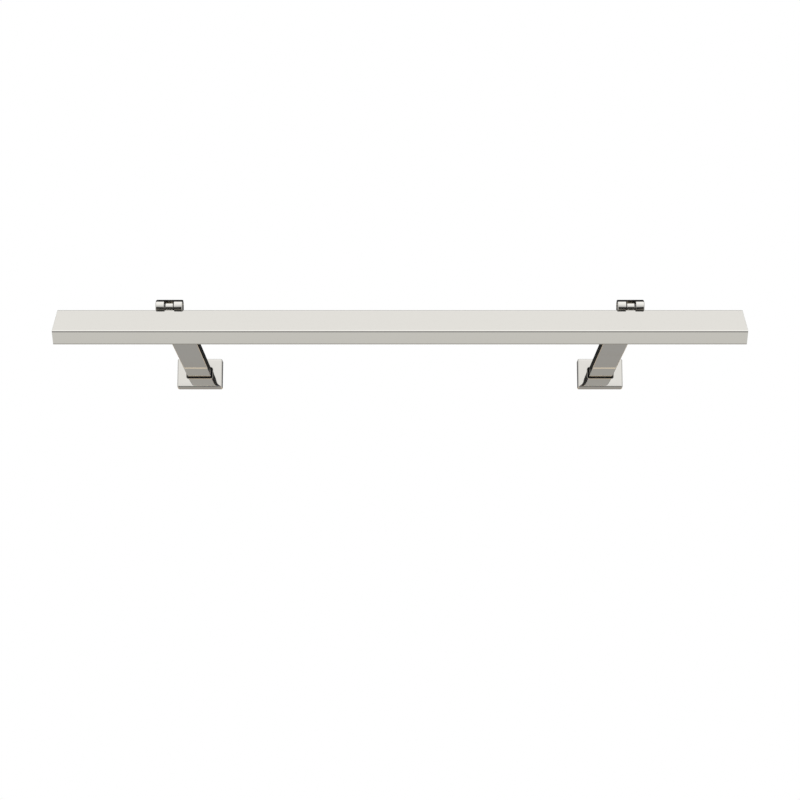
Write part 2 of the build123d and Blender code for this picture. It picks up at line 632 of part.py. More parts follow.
def head_lead():
    """The lead from the tilt pivot through the left lug to the connector on the board."""
    start_y = -LEAD_END_GAP
    turn_z = LEAD_TURN_Y * LEAD_SLOPE
    points = [
        (0, start_y, start_y * LEAD_SLOPE),
        (0, LEAD_TURN_Y, turn_z),
        (CONNECTOR_X, LEAD_TURN_Y, CONNECTOR_LEAD_Z),
        (CONNECTOR_X, CONNECTOR_REAR - 1.4, CONNECTOR_LEAD_Z),
    ]
    return Pos(-ARM_X, 0, 0) * lead_tube(points, [3.6, LEAD_BEND])


# ---------------------------------------------------------------- the assembly
def build_wall_side():
    """Everything that is fixed to the wall."""
    save("wall_bracket_left", [Pos(-ARM_X, 0, 0) * wall_bracket(with_inlet=True)])
    save("wall_bracket_right", [Pos(ARM_X, 0, 0) * wall_bracket(with_inlet=False)])
    save("inlet_grommet", [Pos(-ARM_X, 0, 0) * inlet_grommet()])
    save("supply_connector", [Pos(-ARM_X, 0, 0) * supply_connector()])
    save_pair("cover_plate", *at_arms(cover_plate()))
    save_pair("arm_root", *at_arms(arm_root()))
    save_pair("arm_tube", *at_arms(arm_tube()))
    save_pair("clevis", *at_arms(clevis()))
    groups = {
        "cover_grub_screws": cover_grub_screws(),
        "root_screws": root_screws(),
        "pivot_screws": pivot_screws(),
        "spring_washers": spring_washers(),
    }
    for node, pieces in groups.items():
        save(node, [placed for piece in pieces for placed in at_arms(piece)])
    save("arm_lead", [arm_lead()])


def build_head():
    """Everything that tilts."""
    save("head_housing", [tilted(head_housing())])
    save_pair("pivot_lug", *[tilted(lug) for lug in at_arms(pivot_lug())])
    for node, pieces in {"lug_bushes": lug_bushes(), "lug_screws": lug_screws()}.items():
        save(node, [tilted(placed) for piece in pieces for placed in at_arms(piece)])
    save_pair("end_cap", tilted(mirrored(end_cap())), tilted(end_cap()))
    right_screws = end_cap_screws()
    left_screws = [mirrored(screw) for screw in right_screws]
    save("end_cap_screws", [tilted(screw) for screw in left_screws + right_screws])
    save("heat_spreader", [tilted(heat_spreader())])
    save("thermal_tape", [tilted(thermal_tape())])
    save("led_board", [tilted(led_board())])
    save("led_chips", [tilted(chip) for chip in led_chips()])
    save("board_screws", [tilted(screw) for screw in board_screws()])
    save("board_connector", [tilted(board_connector())])
    save("diffuser", [tilted(diffuser())])
    save("head_lead", [tilted(head_lead())])


build_wall_side()
build_head()
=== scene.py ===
"""Looks of a two-arm picture light, laid out as a Blender add-on and run as a script.

Every piece is made in metres in the row frame: X along the head, Y into the wall, Z up. The pieces of the
head are drawn level, with the tilt pivot as origin and the light opening underneath, and are then moved to
the pivot and tilted.
"""

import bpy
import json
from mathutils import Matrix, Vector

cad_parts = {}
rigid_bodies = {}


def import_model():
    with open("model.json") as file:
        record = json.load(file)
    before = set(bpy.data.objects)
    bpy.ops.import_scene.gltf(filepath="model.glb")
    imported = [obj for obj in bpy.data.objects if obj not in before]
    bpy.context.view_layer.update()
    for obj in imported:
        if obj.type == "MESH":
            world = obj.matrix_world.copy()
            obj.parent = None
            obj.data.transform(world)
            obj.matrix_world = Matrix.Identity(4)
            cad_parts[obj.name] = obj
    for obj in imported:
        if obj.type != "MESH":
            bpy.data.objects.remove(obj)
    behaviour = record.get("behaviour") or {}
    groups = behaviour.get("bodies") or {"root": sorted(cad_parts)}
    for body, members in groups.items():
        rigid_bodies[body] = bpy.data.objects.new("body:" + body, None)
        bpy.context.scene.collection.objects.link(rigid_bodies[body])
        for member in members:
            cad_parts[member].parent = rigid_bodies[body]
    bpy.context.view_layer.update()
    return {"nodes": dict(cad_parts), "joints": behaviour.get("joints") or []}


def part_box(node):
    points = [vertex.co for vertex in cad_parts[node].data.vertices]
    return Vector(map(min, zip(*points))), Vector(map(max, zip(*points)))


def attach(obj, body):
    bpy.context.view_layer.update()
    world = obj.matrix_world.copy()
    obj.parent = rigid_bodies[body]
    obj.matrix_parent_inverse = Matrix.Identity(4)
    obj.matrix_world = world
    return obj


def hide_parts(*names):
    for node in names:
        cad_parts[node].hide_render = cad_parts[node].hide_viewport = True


bl_info = {
    "name": "Picture Light Maker",
    "version": (1, 0, 0),
    "blender": (4, 5, 0),
    "location": "3D View > Sidebar > Picture Light",
    "description": "Makes the polished pieces, finishes and studio of a two-arm picture light",
    "category": "Object",
}

import json
import math

import bmesh
import bpy
from bpy.props import FloatProperty, FloatVectorProperty, IntProperty, PointerProperty
from mathutils import Matrix, Vector

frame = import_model()

MM = 0.001
PIVOT = Vector(frame["joints"][0]["pos_m"])
HEAD_BODY = frame["joints"][0]["child"]
WALL_BODY = frame["joints"][0]["parent"]
SIDES = ("left", "right")


def node_width(node, axis):
    """The size of a CAD node along one axis, 0 for X, 1 for Y or 2 for Z."""
    low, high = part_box(node)
    return high[axis] - low[axis]


def node_middle(node):
    """The centre of a CAD node's box."""
    low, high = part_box(node)
    return (low + high) / 2


# ---------------------------------------------------------------- settings
class HeadSettings(bpy.types.PropertyGroup):
    """Sizes of the tilting head."""

    length: FloatProperty(
        name="Length", description="Overall length of the channel",
        default=node_width("head_housing", 0), unit="LENGTH", precision=4)
    depth: FloatProperty(
        name="Depth", description="Width of the broad cover, from back edge to front edge",
        default=36.5 * MM, unit="LENGTH", precision=4)
    height: FloatProperty(
        name="Height", description="Height of the channel when it is level",
        default=14.5 * MM, unit="LENGTH", precision=4)
    tilt: FloatProperty(
        name="Tilt", description="How far the head is tilted down at rest",
        default=math.radians(45), subtype="ANGLE")
    edge_radius: FloatProperty(
        name="Edge radius", description="Radius of the four long outer edges",
        default=1.5 * MM, unit="LENGTH", precision=4)
    pivot_behind: FloatProperty(
        name="Pivot behind", description="Distance from the back wall to the tilt pivot",
        default=7.3 * MM, unit="LENGTH", precision=4)
    pivot_below: FloatProperty(
        name="Pivot below", description="Distance from the cover down to the tilt pivot",
        default=1.75 * MM, unit="LENGTH", precision=5)


class ArmSettings(bpy.types.PropertyGroup):
    """Sizes of the arms."""

    width: FloatProperty(
        name="Width", description="Width of an arm, along the head",
        default=node_width("arm_tube_left", 0), unit="LENGTH", precision=4)
    thickness: FloatProperty(
        name="Thickness", description="Height of an arm",
        default=node_width("arm_tube_left", 2), unit="LENGTH", precision=4)
    wall: FloatProperty(
        name="Wall", description="Wall of the arm's tube",
        default=1.5 * MM, unit="LENGTH", precision=4)
    edge_radius: FloatProperty(
        name="Edge radius", description="Radius of an arm's long edges",
        default=0.8 * MM, unit="LENGTH", precision=4)


class PlateSettings(bpy.types.PropertyGroup):
    """Sizes of the cover plates on the wall."""

    corner_radius: FloatProperty(
        name="Corner radius", description="Radius of the four corners, seen from the room",
        default=1.5 * MM, unit="LENGTH", precision=4)
    face_radius: FloatProperty(
        name="Face edge radius", description="Rounding between the face and the sides",
        default=1.5 * MM, unit="LENGTH", precision=4)
    opening_gap: FloatProperty(
        name="Opening gap", description="Gap between the arm and the edge of its opening",
        default=1.05 * MM, unit="LENGTH", precision=5)
    opening_corner: FloatProperty(
        name="Opening corner", description="Corner radius of the opening",
        default=1.8 * MM, unit="LENGTH", precision=4)
    opening_edge: FloatProperty(
        name="Opening edge", description="Rounding of the opening's front edge",
        default=0.8 * MM, unit="LENGTH", precision=4)
    crown: FloatProperty(
        name="Crown", description="How far the polished face bulges between its edge and the opening",
        default=0.03 * MM, unit="LENGTH", precision=5)
    wall: FloatProperty(
        name="Wall", description="Thickness of a cover's sides",
        default=2.3 * MM, unit="LENGTH", precision=4)
    front_wall: FloatProperty(
        name="Front wall", description="Thickness of a cover behind its face",
        default=2.5 * MM, unit="LENGTH", precision=4)


class FinishSettings(bpy.types.PropertyGroup):
    """Colours and polish."""

    nickel: FloatVectorProperty(
        name="Nickel", description="Colour of the polished nickel plate",
        subtype="COLOR", size=3, min=0, max=1, default=(0.80, 0.785, 0.755))
    # A lighter, warmer cream tone laid along the edges of the nickel: a painted edge highlight.
    edge_highlight_nickel: FloatVectorProperty(
        name="Edge highlight nickel", description="Lighter cream colour painted along the edges as a highlight",
        subtype="COLOR", size=3, min=0, max=1, default=(0.86, 0.82, 0.76))
    opal: FloatVectorProperty(
        name="Opal", description="Colour of the diffuser",
        subtype="COLOR", size=3, min=0, max=1, default=(0.90, 0.90, 0.88))
    polish: FloatProperty(
        name="Polish", description="Roughness of the cleanest polished metal",
        default=0.035, min=0, max=1)


class StudioSettings(bpy.types.PropertyGroup):
    """The camera, the floor and the light round the object."""

    lens: FloatProperty(name="Lens", description="Focal length of the camera", default=90.0, unit="CAMERA")
    distance: FloatProperty(
        name="Distance", description="From the wall plane to the camera", default=2.020, unit="LENGTH")
    drop: FloatProperty(
        name="Drop", description="How far the camera is below the arms", default=0.442, unit="LENGTH")
    pitch: FloatProperty(
        name="Pitch", description="How far the camera looks up",
        default=math.radians(11.632), subtype="ANGLE")
    floor_drop: FloatProperty(
        name="Floor", description="How far the floor is below the arms", default=0.90, unit="LENGTH")
    floor_radius: FloatProperty(
        name="Floor radius", description="Radius of the round floor", default=2.4, unit="LENGTH")


class PictureLightSettings(bpy.types.PropertyGroup):
    """All the settings of the picture light."""

    head: PointerProperty(type=HeadSettings)
    arm: PointerProperty(type=ArmSettings)
    plate: PointerProperty(type=PlateSettings)
    finish: PointerProperty(type=FinishSettings)
    studio: PointerProperty(type=StudioSettings)


def settings():
    """The scene's settings."""
    return bpy.context.scene.picture_light


# ---------------------------------------------------------------- mesh helpers
def add_object(name, mesh):
    """Puts a mesh in the scene under a name."""
    piece = bpy.data.objects.new(name, mesh)
    bpy.context.scene.collection.objects.link(piece)
    return piece


def mesh_object(name, verts, faces):
    """A new object from corner points and faces."""
    mesh = bpy.data.meshes.new(name)
    mesh.from_pydata([tuple(v) for v in verts], [], faces)
    build = bmesh.new()
    build.from_mesh(mesh)
    bmesh.ops.remove_doubles(build, verts=build.verts, dist=0.001 * MM)
    bmesh.ops.recalc_face_normals(build, faces=build.faces)
    build.to_mesh(mesh)
    build.free()
    return add_object(name, mesh)


def arc(centre, radius, start, end, steps):
    """Points on an arc in a plane; the angles are in degrees."""
    points = []
    for i in range(steps + 1):
        angle = math.radians(start + (end - start) * i / steps)
        points.append((centre[0] + radius * math.cos(angle), centre[1] + radius * math.sin(angle)))
    return points


def rounded_rectangle(low, high, radius, steps=8):
    """The outline of a rectangle with round corners, counter-clockwise from its lower right corner."""
    (a0, b0), (a1, b1) = low, high
    outline = arc((a1 - radius, b0 + radius), radius, -90, 0, steps)
    outline += arc((a1 - radius, b1 - radius), radius, 0, 90, steps)
    outline += arc((a0 + radius, b1 - radius), radius, 90, 180, steps)
    outline += arc((a0 + radius, b0 + radius), radius, 180, 270, steps)
    return outline


def skin_rings(name, rings, close_first=True, close_last=True):
    """Joins rings of equal length into a skin, with a face over the first and the last ring."""
    count = len(rings[0])
    verts = [point for ring in rings for point in ring]
    faces = []
    for r in range(len(rings) - 1):
        for i in range(count):
            j = (i + 1) % count
            faces.append((r * count + i, r * count + j, (r + 1) * count + j, (r + 1) * count + i))
    if close_first:
        faces.append(tuple(range(count))[::-1])
    if close_last:
        faces.append(tuple(range((len(rings) - 1) * count, len(rings) * count)))
    return mesh_object(name, verts, faces)


def prism_x(name, outline, x0, x1):
    """Extrudes an outline drawn in Y and Z along X."""
    return skin_rings(name, [[(x, y, z) for y, z in outline] for x in (x0, x1)])


def prism_y(name, outline, y0, y1):
    """Extrudes an outline drawn in X and Z along Y."""
    return skin_rings(name, [[(x, y, z) for x, z in outline] for y in (y0, y1)])


def cut(piece, cutter):
    """Takes the cutter out of the piece's mesh with one exact boolean and removes the cutter."""
    modifier = piece.modifiers.new("boolean", "BOOLEAN")
    modifier.operation = "DIFFERENCE"
    modifier.solver = "EXACT"
    modifier.object = cutter
    graph = bpy.context.evaluated_depsgraph_get()
    result = bpy.data.meshes.new_from_object(piece.evaluated_get(graph))
    piece.modifiers.clear()
    old = piece.data
    piece.data = result
    result.name = old.name
    bpy.data.meshes.remove(old)
    cutter_mesh = cutter.data
    bpy.data.objects.remove(cutter)
    bpy.data.meshes.remove(cutter_mesh)


def box_cutter(low, high):
    """A plain box used only as a cutting tool."""
    outline = [(low[1], low[2]), (high[1], low[2]), (high[1], high[2]), (low[1], high[2])]
    return prism_x("cutter", outline, low[0], high[0])


def round_cutter(radius, start, end, steps=48):
    """A plain cylinder between two points, used only as a cutting tool."""
    start, end = Vector(start), Vector(end)
    turn = (end - start).to_track_quat("Z", "Y")
    ring = arc((0, 0), radius, 0, 360 - 360 / steps, steps - 1)
    rings = [[turn @ Vector((a, b, 0)) + point for a, b in ring] for point in (start, end)]
    return skin_rings("cutter", rings)


def ease_edges(piece, width, segments=3, angle=32):
    """Rounds the sharp edges and keeps the flats flat in the shading."""
    bevel = piece.modifiers.new("eased edges", "BEVEL")
    bevel.width = width
    bevel.segments = segments
    bevel.limit_method = "ANGLE"
    bevel.angle_limit = math.radians(angle)
    bevel.miter_outer = "MITER_ARC"
    bevel.use_clamp_overlap = True
    shade(piece)
    return piece


def shade(piece):
    """Smooth shading whose normals lean to the large faces."""
    piece.data.shade_smooth()
    weighted = piece.modifiers.new("flat faces", "WEIGHTED_NORMAL")
    weighted.keep_sharp = True
    weighted.weight = 80
    return piece


def level_to_rest():
    """The transform from the level head to its place at rest."""
    return Matrix.Translation(PIVOT) @ Matrix.Rotation(settings().head.tilt, 4, "X")


def place_on_head(piece):
    """Moves a piece drawn level to its place on the tilted head."""
    piece.data.transform(level_to_rest())
    piece.data.update()
    return piece


def refined_copy(node, name, edge, segments=2):
    """A copy of a machined CAD piece with its flats merged and its edges eased."""
    mesh = frame["nodes"][node].data.copy()
    mesh.name = name
    mesh.materials.clear()
    build = bmesh.new()
    build.from_mesh(mesh)
    bmesh.ops.remove_doubles(build, verts=build.verts, dist=0.002 * MM)
    bmesh.ops.dissolve_limit(
        build, angle_limit=math.radians(0.4), verts=build.verts, edges=build.edges)
    build.to_mesh(mesh)
    build.free()
    if mesh.has_custom_normals:
        mesh.attributes.remove(mesh.attributes["custom_normal"])
    piece = add_object(name, mesh)
    ease_edges(piece, edge, segments, angle=34)
    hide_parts(node)
    return piece


def finish_piece(piece, material, body):
    """Gives a piece its material and its body."""
    piece.data.materials.clear()
    piece.data.materials.append(material)
    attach(piece, body)
    return piece


# ---------------------------------------------------------------- shader helpers
def add_node(tree, kind, **values):
    """A new shader node; each value sets an input by name or, failing that, an attribute."""
    node = tree.nodes.new(kind)
    for key, value in values.items():
        label = key.replace("_", " ")
        if label in node.inputs:
            node.inputs[label].default_value = value
        else:
            setattr(node, key, value)
    return node


def calculate(tree, operation, first, second=None, third=None, clamp=False):
    """A Math node fed by sockets or numbers."""
    node = tree.nodes.new("ShaderNodeMath")
    node.operation = operation
    node.use_clamp = clamp
    for index, value in enumerate((first, second, third)):
        if value is None:
            continue
        if isinstance(value, (int, float)):
            node.inputs[index].default_value = value
        else:
            tree.links.new(value, node.inputs[index])
    return node.outputs[0]


def mix_colour(tree, factor, first, second, blend="MIX"):
    """Mixes two colours given as sockets or values."""
    node = tree.nodes.new("ShaderNodeMix")
    node.data_type = "RGBA"
    node.blend_type = blend
    for socket, value in ((node.inputs[0], factor), (node.inputs[6], first), (node.inputs[7], second)):
        if isinstance(value, bpy.types.NodeSocket):
            tree.links.new(value, socket)
        elif isinstance(value, (int, float)):
            socket.default_value = value
        else:
            socket.default_value = (*value[:3], 1)
    return node.outputs[2]


def remap(tree, value, from_low, from_high, to_low, to_high):
    """A clamped, smoothed change of range."""
    node = tree.nodes.new("ShaderNodeMapRange")
    node.interpolation_type = "SMOOTHSTEP"
    tree.links.new(value, node.inputs["Value"])
    limits = {"From Min": from_low, "From Max": from_high, "To Min": to_low, "To Max": to_high}
    for key, number in limits.items():
        if isinstance(number, bpy.types.NodeSocket):
            tree.links.new(number, node.inputs[key])
        else:
            node.inputs[key].default_value = number
    return node.outputs["Result"]


def noise(tree, coordinates, scale, detail=3.0, roughness=0.55):
    """A noise value over the surface."""
    node = add_node(tree, "ShaderNodeTexNoise", Detail=detail, Roughness=roughness)
    tree.links.new(coordinates, node.inputs["Vector"])
    if isinstance(scale, bpy.types.NodeSocket):
        tree.links.new(scale, node.inputs["Scale"])
    else:
        node.inputs["Scale"].default_value = scale
    return node.outputs["Fac"]


def stretched(tree, coordinates, scale):
    """Coordinates scaled differently along each axis."""
    node = add_node(tree, "ShaderNodeMapping")
    node.inputs["Scale"].default_value = scale
    tree.links.new(coordinates, node.inputs["Vector"])
    return node.outputs["Vector"]


def new_group(name, inputs, outputs):
    """An empty shader group with named sockets; returns the group, its input node and its output node."""
    group = bpy.data.node_groups.new(name, "ShaderNodeTree")
    for label, kind, default in inputs:
        socket = group.interface.new_socket(label, in_out="INPUT", socket_type=kind)
        socket.default_value = default
    for label, kind in outputs:
        group.interface.new_socket(label, in_out="OUTPUT", socket_type=kind)
    return group, group.nodes.new("NodeGroupInput"), group.nodes.new("NodeGroupOutput")


def polish_marks_group():
    """Wiping smears, hairline marks and the slow waviness of hand-polished metal."""
    group, given, result = new_group(
        "polish marks",
        [("Clean", "NodeSocketFloat", 0.035), ("Smeared", "NodeSocketFloat", 0.09),
         ("Smear Scale", "NodeSocketFloat", 22.0), ("Hairlines", "NodeSocketFloat", 0.02),
         ("Wave Scale", "NodeSocketFloat", 30.0)],
        [("Roughness", "NodeSocketFloat"), ("Height", "NodeSocketFloat")])
    place = group.nodes.new("ShaderNodeTexCoord").outputs["Object"]
    smear = noise(group, stretched(group, place, (0.45, 1, 1)), given.outputs["Smear Scale"], 4.0, 0.6)
    smear = remap(group, smear, 0.42, 0.72, given.outputs["Clean"], given.outputs["Smeared"])
    hair = noise(group, stretched(group, place, (40, 3500, 3500)), 1.0, 2.0)
    hair = remap(group, hair, 0.58, 0.70, 0.0, given.outputs["Hairlines"])
    group.links.new(calculate(group, "ADD", smear, hair), result.inputs["Roughness"])
    wave = noise(group, place, given.outputs["Wave Scale"], 1.0, 0.4)
    group.links.new(wave, result.inputs["Height"])
    return group


def edge_highlight_group():
    """A colour that turns to a lighter, warmer tone along the edges, in patches: a painted edge highlight.
    """
    group, given, result = new_group(
        "painted edge highlight",
        [("Colour", "NodeSocketColor", (0.8, 0.8, 0.8, 1)),
         ("Worn Colour", "NodeSocketColor", (0.9, 0.9, 0.9, 1)),
         ("Width", "NodeSocketFloat", 0.0006), ("Amount", "NodeSocketFloat", 0.6)],
        [("Colour", "NodeSocketColor"), ("Mask", "NodeSocketFloat")])
    rounded = add_node(group, "ShaderNodeBevel", samples=6)
    group.links.new(given.outputs["Width"], rounded.inputs["Radius"])
    plain = group.nodes.new("ShaderNodeNewGeometry")
    match = group.nodes.new("ShaderNodeVectorMath")
    match.operation = "DOT_PRODUCT"
    group.links.new(rounded.outputs["Normal"], match.inputs[0])
    group.links.new(plain.outputs["Normal"], match.inputs[1])
    edge = remap(group, match.outputs["Value"], 0.995, 0.85, 0.0, 1.0)
    place = group.nodes.new("ShaderNodeTexCoord").outputs["Object"]
    patchy = remap(group, noise(group, place, 260.0, 3.0), 0.35, 0.65, 0.25, 1.0)
    mask = calculate(group, "MULTIPLY", calculate(group, "MULTIPLY", edge, patchy), given.outputs["Amount"])
    group.links.new(mask, result.inputs["Mask"])
    colour = mix_colour(group, mask, given.outputs["Colour"], given.outputs["Worn Colour"])
    group.links.new(colour, result.inputs["Colour"])
    return group


def settled_dust_group():
    """A thin film of dust on whatever faces up."""
    group, given, result = new_group(
        "settled dust",
        [("Amount", "NodeSocketFloat", 0.1), ("Scale", "NodeSocketFloat", 90.0)],
        [("Mask", "NodeSocketFloat")])
    facing = group.nodes.new("ShaderNodeSeparateXYZ")
    group.links.new(group.nodes.new("ShaderNodeNewGeometry").outputs["Normal"], facing.inputs[0])
    up = remap(group, facing.outputs["Z"], 0.75, 1.0, 0.0, 1.0)
    place = group.nodes.new("ShaderNodeTexCoord").outputs["Object"]
    specks = remap(group, noise(group, place, given.outputs["Scale"], 6.0, 0.7), 0.45, 0.75, 0.2, 1.0)
    mask = calculate(group, "MULTIPLY", calculate(group, "MULTIPLY", up, specks), given.outputs["Amount"])
    group.links.new(mask, result.inputs["Mask"])
    return group


def grain_group():
    """Speckled colour and fine height for cast, moulded, sintered or plated surfaces."""
    group, given, result = new_group(
        "surface grain",
        [("Light", "NodeSocketColor", (0.8, 0.8, 0.8, 1)), ("Dark", "NodeSocketColor", (0.6, 0.6, 0.6, 1)),
         ("Scale", "NodeSocketFloat", 800.0), ("Smooth", "NodeSocketFloat", 0.3),
         ("Rough", "NodeSocketFloat", 0.5), ("Along", "NodeSocketVector", (1, 1, 1))],
        [("Colour", "NodeSocketColor"), ("Roughness", "NodeSocketFloat"), ("Height", "NodeSocketFloat")])
    place = group.nodes.new("ShaderNodeTexCoord").outputs["Object"]
    along = group.nodes.new("ShaderNodeVectorMath")
    along.operation = "MULTIPLY"
    group.links.new(place, along.inputs[0])
    group.links.new(given.outputs["Along"], along.inputs[1])
    value = noise(group, along.outputs["Vector"], given.outputs["Scale"], 5.0, 0.6)
    mask = remap(group, value, 0.3, 0.7, 0.0, 1.0)
    colour = mix_colour(group, mask, given.outputs["Dark"], given.outputs["Light"])
    group.links.new(colour, result.inputs["Colour"])
    rough = remap(group, value, 0.3, 0.7, given.outputs["Smooth"], given.outputs["Rough"])
    group.links.new(rough, result.inputs["Roughness"])
    group.links.new(value, result.inputs["Height"])
    return group


GROUP_MAKERS = {
    "polish marks": polish_marks_group,
    "painted edge highlight": edge_highlight_group,
    "settled dust": settled_dust_group,
    "surface grain": grain_group,
}


def use_group(tree, name, **values):
    """Places a shader group, which is built the first time it is asked for."""
    group = bpy.data.node_groups.get(name) or GROUP_MAKERS[name]()
    node = tree.nodes.new("ShaderNodeGroup")
    node.node_tree = group
    for key, value in values.items():
        node.inputs[key.replace("_", " ")].default_value = value
    return node


def new_material(name, **values):
    """A material with one Principled shader; each value sets one of its inputs."""
    material = bpy.data.materials.new(name)
    material.use_nodes = True
    shader = material.node_tree.nodes["Principled BSDF"]
    for key, value in values.items():
        shader.inputs[key.replace("_", " ")].default_value = value
    return material, material.node_tree, shader


def add_bump(tree, shader, height, distance, strength=1.0):
    """Feeds a height into the shader's normal."""
    bump = add_node(tree, "ShaderNodeBump", Strength=strength, Distance=distance)
    tree.links.new(height, bump.inputs["Height"])
    tree.links.new(bump.outputs["Normal"], shader.inputs["Normal"])


def polished_nickel(name, wave_height, wave_scale=30.0, smeared=0.08):
    """Mirror-polished nickel with smears, a painted highlight along the edges, a little dust and polishing
    waves.
    """
    finish = settings().finish
    material, tree, shader = new_material(name, Metallic=1.0)
    marks = use_group(
        tree, "polish marks", Clean=finish.polish, Smeared=smeared, Wave_Scale=wave_scale)
    # The edges turn a lighter cream tone here: a painted highlight.
    painted_edges = use_group(
        tree, "painted edge highlight", Colour=(*finish.nickel, 1), Worn_Colour=(*finish.edge_highlight_nickel, 1), Amount=0.5)
    dust = use_group(tree, "settled dust", Amount=0.06)
    dusty = mix_colour(tree, dust.outputs["Mask"], painted_edges.outputs["Colour"], (0.72, 0.70, 0.66))
    tree.links.new(dusty, shader.inputs["Base Color"])
    rough = calculate(tree, "MULTIPLY_ADD", dust.outputs["Mask"], 0.6, marks.outputs["Roughness"])
    tree.links.new(rough, shader.inputs["Roughness"])
    add_bump(tree, shader, marks.outputs["Height"], wave_height)
    return material


def grained(name, light, dark, scale, smooth, rough, height, metallic=0.0, along=(1, 1, 1), **values):
    """A material of plain speckled stock, such as nylon, rubber, zinc or acetal."""
    material, tree, shader = new_material(name, Metallic=metallic, **values)
    grain = use_group(
        tree, "surface grain", Light=(*light, 1), Dark=(*dark, 1), Scale=scale, Smooth=smooth, Rough=rough,
        Along=along)
    tree.links.new(grain.outputs["Colour"], shader.inputs["Base Color"])
    tree.links.new(grain.outputs["Roughness"], shader.inputs["Roughness"])
    add_bump(tree, shader, grain.outputs["Height"], height)
    return material


MATERIAL_MAKERS = {
    "cover nickel": lambda: polished_nickel("cover nickel", 0.004 * MM, 12.0, 0.06),
    "arm nickel": lambda: polished_nickel("arm nickel", 0.003 * MM, 25.0),
    "plate nickel": lambda: polished_nickel("plate nickel", 0.004 * MM, 60.0),
    "knuckle nickel": lambda: polished_nickel("knuckle nickel", 0.003 * MM, 160.0),
    "screw nickel": lambda: polished_nickel("screw nickel", 0.004 * MM, 300.0, 0.14),
    "opal acrylic": lambda: grained(
        "opal acrylic", settings().finish.opal, tuple(0.97 * c for c in settings().finish.opal),
        900.0, 0.28, 0.40, 0.004 * MM, Subsurface_Weight=0.35, Subsurface_Scale=0.002),
    "zinc plate": lambda: grained(
        "zinc plate", (0.66, 0.68, 0.70), (0.50, 0.51, 0.52), 350.0, 0.22, 0.42, 0.004 * MM, 1.0),
    "black oxide": lambda: grained(
        "black oxide", (0.055, 0.055, 0.06), (0.025, 0.025, 0.028), 900.0, 0.30, 0.48, 0.004 * MM, 0.6),
    "spring steel": lambda: grained(
        "spring steel", (0.60, 0.60, 0.61), (0.45, 0.45, 0.46), 1200.0, 0.25, 0.40, 0.003 * MM, 1.0),
    "black acetal": lambda: grained(
        "black acetal", (0.035, 0.035, 0.035), (0.020, 0.020, 0.020), 1500.0, 0.35, 0.55, 0.008 * MM),
    "mill aluminium": lambda: grained(
        "mill aluminium", (0.78, 0.79, 0.80), (0.64, 0.65, 0.66), 300.0, 0.28, 0.46, 0.006 * MM, 1.0,
        (0.05, 6, 6)),
    "white tape": lambda: grained(
        "white tape", (0.88, 0.88, 0.86), (0.80, 0.80, 0.78), 700.0, 0.6, 0.8, 0.006 * MM),
    "solder mask": lambda: grained(
        "solder mask", (0.90, 0.91, 0.90), (0.84, 0.85, 0.84), 120.0, 0.25, 0.38, 0.004 * MM),
    "phosphor": lambda: grained(
        "phosphor", (0.95, 0.80, 0.30), (0.88, 0.66, 0.18), 1600.0, 0.3, 0.5, 0.004 * MM),
    "white nylon": lambda: grained(
        "white nylon", (0.90, 0.89, 0.85), (0.83, 0.82, 0.78), 900.0, 0.4, 0.55, 0.006 * MM),
    "grey nylon": lambda: grained(
        "grey nylon", (0.58, 0.59, 0.60), (0.48, 0.49, 0.50), 900.0, 0.4, 0.55, 0.006 * MM),
    "black rubber": lambda: grained(
        "black rubber", (0.06, 0.06, 0.06), (0.03, 0.03, 0.03), 1100.0, 0.6, 0.85, 0.010 * MM),
    "lead sleeve": lambda: grained(
        "lead sleeve", (0.82, 0.81, 0.78), (0.72, 0.71, 0.68), 500.0, 0.4, 0.6, 0.005 * MM),
}


def material(name):
    """A finish by name, made the first time it is asked for."""
    return bpy.data.materials.get(name) or MATERIAL_MAKERS[name]()


# ---------------------------------------------------------------- pieces of the head
HOUSING_TOP_WALL = 1.6 * MM
HOUSING_FRONT_WALL = 1.6 * MM
HOUSING_REAR_WALL = 2.4 * MM
LIP_THICKNESS = 1.2 * MM
LIP_WIDTH = 2.0 * MM
NECK_TOP = -0.45 * MM
NECK_BOTTOM = -6.65 * MM
LUG_WIDTH = 6.8 * MM
FIT_GAP = 0.1 * MM


def channel_outline():
    """The section of the channel in Y and Z, drawn level, from the rear lip round to the front lip."""
    head = settings().head
    rear, front = -head.pivot_behind, -head.pivot_behind - head.depth
    top = head.pivot_below
    bottom = top - head.height
    radius = head.edge_radius
    inner_rear, inner_front = rear - HOUSING_REAR_WALL, front + HOUSING_FRONT_WALL
    inner_top, lip_top = top - HOUSING_TOP_WALL, bottom + LIP_THICKNESS
    outline = [(inner_rear - LIP_WIDTH, bottom)]
    outline += arc((rear - radius, bottom + radius), radius, -90, 0, 10)
    outline += arc((rear - radius, top - radius), radius, 0, 90, 10)
    outline += arc((front + radius, top - radius), radius, 90, 180, 10)
    outline += arc((front + radius, bottom + radius), radius, 180, 270, 10)
    outline += [
        (inner_front + LIP_WIDTH, bottom),
        (inner_front + LIP_WIDTH, lip_top),
        (inner_front, lip_top),
        (inner_front, inner_top),
        (inner_rear, inner_top),
        (inner_rear, lip_top),
        (inner_rear - LIP_WIDTH, lip_top),
    ]
    return outline


